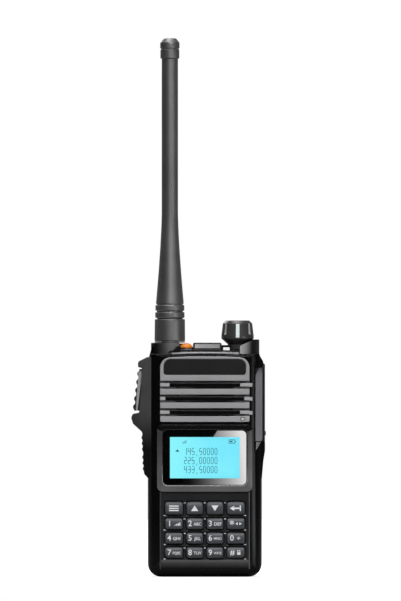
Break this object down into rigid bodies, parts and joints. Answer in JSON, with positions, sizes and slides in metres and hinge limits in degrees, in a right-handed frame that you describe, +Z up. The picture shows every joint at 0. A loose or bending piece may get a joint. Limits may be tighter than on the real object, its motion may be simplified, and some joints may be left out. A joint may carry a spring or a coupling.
{
  "type": "handheld two-way radio",
  "caption": "Handheld two-way radio with screw-on whip antenna, lit display, keypad, talk lever, volume knob, swing-out battery and sprung belt clip.",
  "frame": {"origin": "middle of the radio's flat base", "axes": "+Z up along the antenna, -Y out of the keypad side, +X to the right as seen from the keypad side"},
  "size_m": [0.0673, 0.0436, 0.2695],
  "materials": {
    "body_black": "satin",
    "grille_grey": "satin",
    "badge_dark": "satin",
    "bezel_dark": "satin",
    "lens_clear": "gloss",
    "display": "matte",
    "silicone": "matte",
    "board": "satin",
    "speaker_metal": "matte",
    "steel": "satin",
    "cover_dark": "satin",
    "led_white": "gloss",
    "brass": "satin",
    "side_grey": "satin",
    "chassis_black": "satin",
    "battery_black": "matte",
    "lever_grey": "matte",
    "side_key_dark": "matte",
    "alarm_orange": "satin",
    "knob_black": "gloss",
    "flap_dark": "satin",
    "antenna_black": "satin",
    "cell_metal": "satin",
    "clip_black": "satin",
    "key_dark": "satin"
  },
  "bodies": {
    "radio": {"front_housing": "body_black", "grille_panel": "grille_grey", "badge_plate": "badge_dark", "lcd_bezel": "bezel_dark", "lcd_lens": "lens_clear", "lcd_module": "display", "keypad_mat": "silicone", "main_board": "board", "speaker": "speaker_metal", "microphone": "steel", "top_cover": "cover_dark", "status_led": "led_white", "volume_pot": "steel", "antenna_socket": "brass", "side_frame": "side_grey", "side_switches": "board", "jack_block": "body_black", "rear_chassis": "chassis_black", "chassis_screws": "steel", "supply_contacts": "brass", "battery_hook": "battery_black", "ptt_pin": "steel"},
    "ptt": {"ptt_lever": "lever_grey"},
    "upper_side_key": {"side_key_upper": "side_key_dark"},
    "lower_side_key": {"side_key_lower": "side_key_dark"},
    "alarm": {"alarm_button": "alarm_orange"},
    "knob": {"volume_knob": "knob_black", "pot_shaft": "steel"},
    "flap": {"jack_cover": "flap_dark"},
    "antenna_ring": {"antenna_seal": "silicone"},
    "antenna": {"antenna_base": "antenna_black", "antenna_plug": "brass", "antenna_sheath": "antenna_black", "antenna_core": "steel", "antenna_cap": "antenna_black"},
    "battery": {"battery_case": "battery_black", "battery_cover": "battery_black", "battery_cells": "cell_metal", "battery_contacts": "brass", "clip_bracket": "battery_black", "clip_screws": "steel", "clip_pin": "steel", "clip_spring": "steel"},
    "clip": {"belt_clip": "clip_black"},
    "key_menu_cap": {"key_menu": "key_dark"},
    "key_up_cap": {"key_up": "key_dark"},
    "key_down_cap": {"key_down": "key_dark"},
    "key_exit_cap": {"key_exit": "key_dark"},
    "key_1_cap": {"key_1": "key_dark"},
    "key_2_cap": {"key_2": "key_dark"},
    "key_3_cap": {"key_3": "key_dark"},
    "key_star_cap": {"key_star": "key_dark"},
    "key_4_cap": {"key_4": "key_dark"},
    "key_5_cap": {"key_5": "key_dark"},
    "key_6_cap": {"key_6": "key_dark"},
    "key_0_cap": {"key_0": "key_dark"},
    "key_7_cap": {"key_7": "key_dark"},
    "key_8_cap": {"key_8": "key_dark"},
    "key_9_cap": {"key_9": "key_dark"},
    "key_hash_cap": {"key_hash": "key_dark"}
  },
  "joints": [
    {"name": "ptt_press", "type": "hinge", "parent": "radio", "child": "ptt", "pos_m": [-0.0306, -0.0055, 0.10615], "axis": [0, -1, 0], "range_deg": [0, 3.5], "stiffness_Nm_per_rad": 0.5},
    {"name": "upper_side_key_press", "type": "slide", "parent": "radio", "child": "upper_side_key", "axis": [1, 0, 0], "range_m": [0, 0.0008], "stiffness_N_per_m": 300},
    {"name": "lower_side_key_press", "type": "slide", "parent": "radio", "child": "lower_side_key", "axis": [1, 0, 0], "range_m": [0, 0.0008], "stiffness_N_per_m": 300},
    {"name": "alarm_press", "type": "slide", "parent": "radio", "child": "alarm", "axis": [0, 0, -1], "range_m": [0, 0.0006], "stiffness_N_per_m": 400},
    {"name": "volume_turn", "type": "hinge", "parent": "radio", "child": "knob", "pos_m": [0.0164, -0.0055, 0.11155], "axis": [0, 0, -1], "range_deg": [0, 270]},
    {"name": "jack_cover_swing", "type": "hinge", "parent": "radio", "child": "flap", "pos_m": [0.02895, -0.0055, 0.10585], "axis": [0, -1, 0], "range_deg": [0, 90], "stiffness_Nm_per_rad": 0.005},
    {"name": "antenna_rise", "type": "slide", "parent": "radio", "child": "antenna_ring", "axis": [0, 0, 1], "range_m": [0, 0.00423]},
    {"name": "antenna_unscrew", "type": "hinge", "parent": "antenna_ring", "child": "antenna", "pos_m": [-0.0175, -0.0055, 0.11705], "axis": [0, 0, 1], "range_deg": [0, 2340]},
    {"name": "battery_swing", "type": "hinge", "parent": "radio", "child": "battery", "pos_m": [0, 0.0062, 0.0876], "axis": [1, 0, 0], "range_deg": [0, 25], "deforming": ["battery_hook"]},
    {"name": "clip_open", "type": "hinge", "parent": "battery", "child": "clip", "pos_m": [0, 0.0224, 0.0765], "axis": [1, 0, 0], "range_deg": [0, 16], "stiffness_Nm_per_rad": 0.5, "springref_deg": -11.46},
    {"name": "key_menu_press", "type": "slide", "parent": "radio", "child": "key_menu_cap", "axis": [0, 1, 0], "range_m": [0, 0.0008], "stiffness_N_per_m": 300},
    {"name": "key_up_press", "type": "slide", "parent": "radio", "child": "key_up_cap", "axis": [0, 1, 0], "range_m": [0, 0.0008], "stiffness_N_per_m": 300},
    {"name": "key_down_press", "type": "slide", "parent": "radio", "child": "key_down_cap", "axis": [0, 1, 0], "range_m": [0, 0.0008], "stiffness_N_per_m": 300},
    {"name": "key_exit_press", "type": "slide", "parent": "radio", "child": "key_exit_cap", "axis": [0, 1, 0], "range_m": [0, 0.0008], "stiffness_N_per_m": 300},
    {"name": "key_1_press", "type": "slide", "parent": "radio", "child": "key_1_cap", "axis": [0, 1, 0], "range_m": [0, 0.0008], "stiffness_N_per_m": 300},
    {"name": "key_2_press", "type": "slide", "parent": "radio", "child": "key_2_cap", "axis": [0, 1, 0], "range_m": [0, 0.0008], "stiffness_N_per_m": 300},
    {"name": "key_3_press", "type": "slide", "parent": "radio", "child": "key_3_cap", "axis": [0, 1, 0], "range_m": [0, 0.0008], "stiffness_N_per_m": 300},
    {"name": "key_star_press", "type": "slide", "parent": "radio", "child": "key_star_cap", "axis": [0, 1, 0], "range_m": [0, 0.0008], "stiffness_N_per_m": 300},
    {"name": "key_4_press", "type": "slide", "parent": "radio", "child": "key_4_cap", "axis": [0, 1, 0], "range_m": [0, 0.0008], "stiffness_N_per_m": 300},
    {"name": "key_5_press", "type": "slide", "parent": "radio", "child": "key_5_cap", "axis": [0, 1, 0], "range_m": [0, 0.0008], "stiffness_N_per_m": 300},
    {"name": "key_6_press", "type": "slide", "parent": "radio", "child": "key_6_cap", "axis": [0, 1, 0], "range_m": [0, 0.0008], "stiffness_N_per_m": 300},
    {"name": "key_0_press", "type": "slide", "parent": "radio", "child": "key_0_cap", "axis": [0, 1, 0], "range_m": [0, 0.0008], "stiffness_N_per_m": 300},
    {"name": "key_7_press", "type": "slide", "parent": "radio", "child": "key_7_cap", "axis": [0, 1, 0], "range_m": [0, 0.0008], "stiffness_N_per_m": 300},
    {"name": "key_8_press", "type": "slide", "parent": "radio", "child": "key_8_cap", "axis": [0, 1, 0], "range_m": [0, 0.0008], "stiffness_N_per_m": 300},
    {"name": "key_9_press", "type": "slide", "parent": "radio", "child": "key_9_cap", "axis": [0, 1, 0], "range_m": [0, 0.0008], "stiffness_N_per_m": 300},
    {"name": "key_hash_press", "type": "slide", "parent": "radio", "child": "key_hash_cap", "axis": [0, 1, 0], "range_m": [0, 0.0008], "stiffness_N_per_m": 300}
  ],
  "couplings": [
    {"joint": "antenna_unscrew", "follows": "antenna_rise", "rad_per_m": 8904.7}
  ]
}
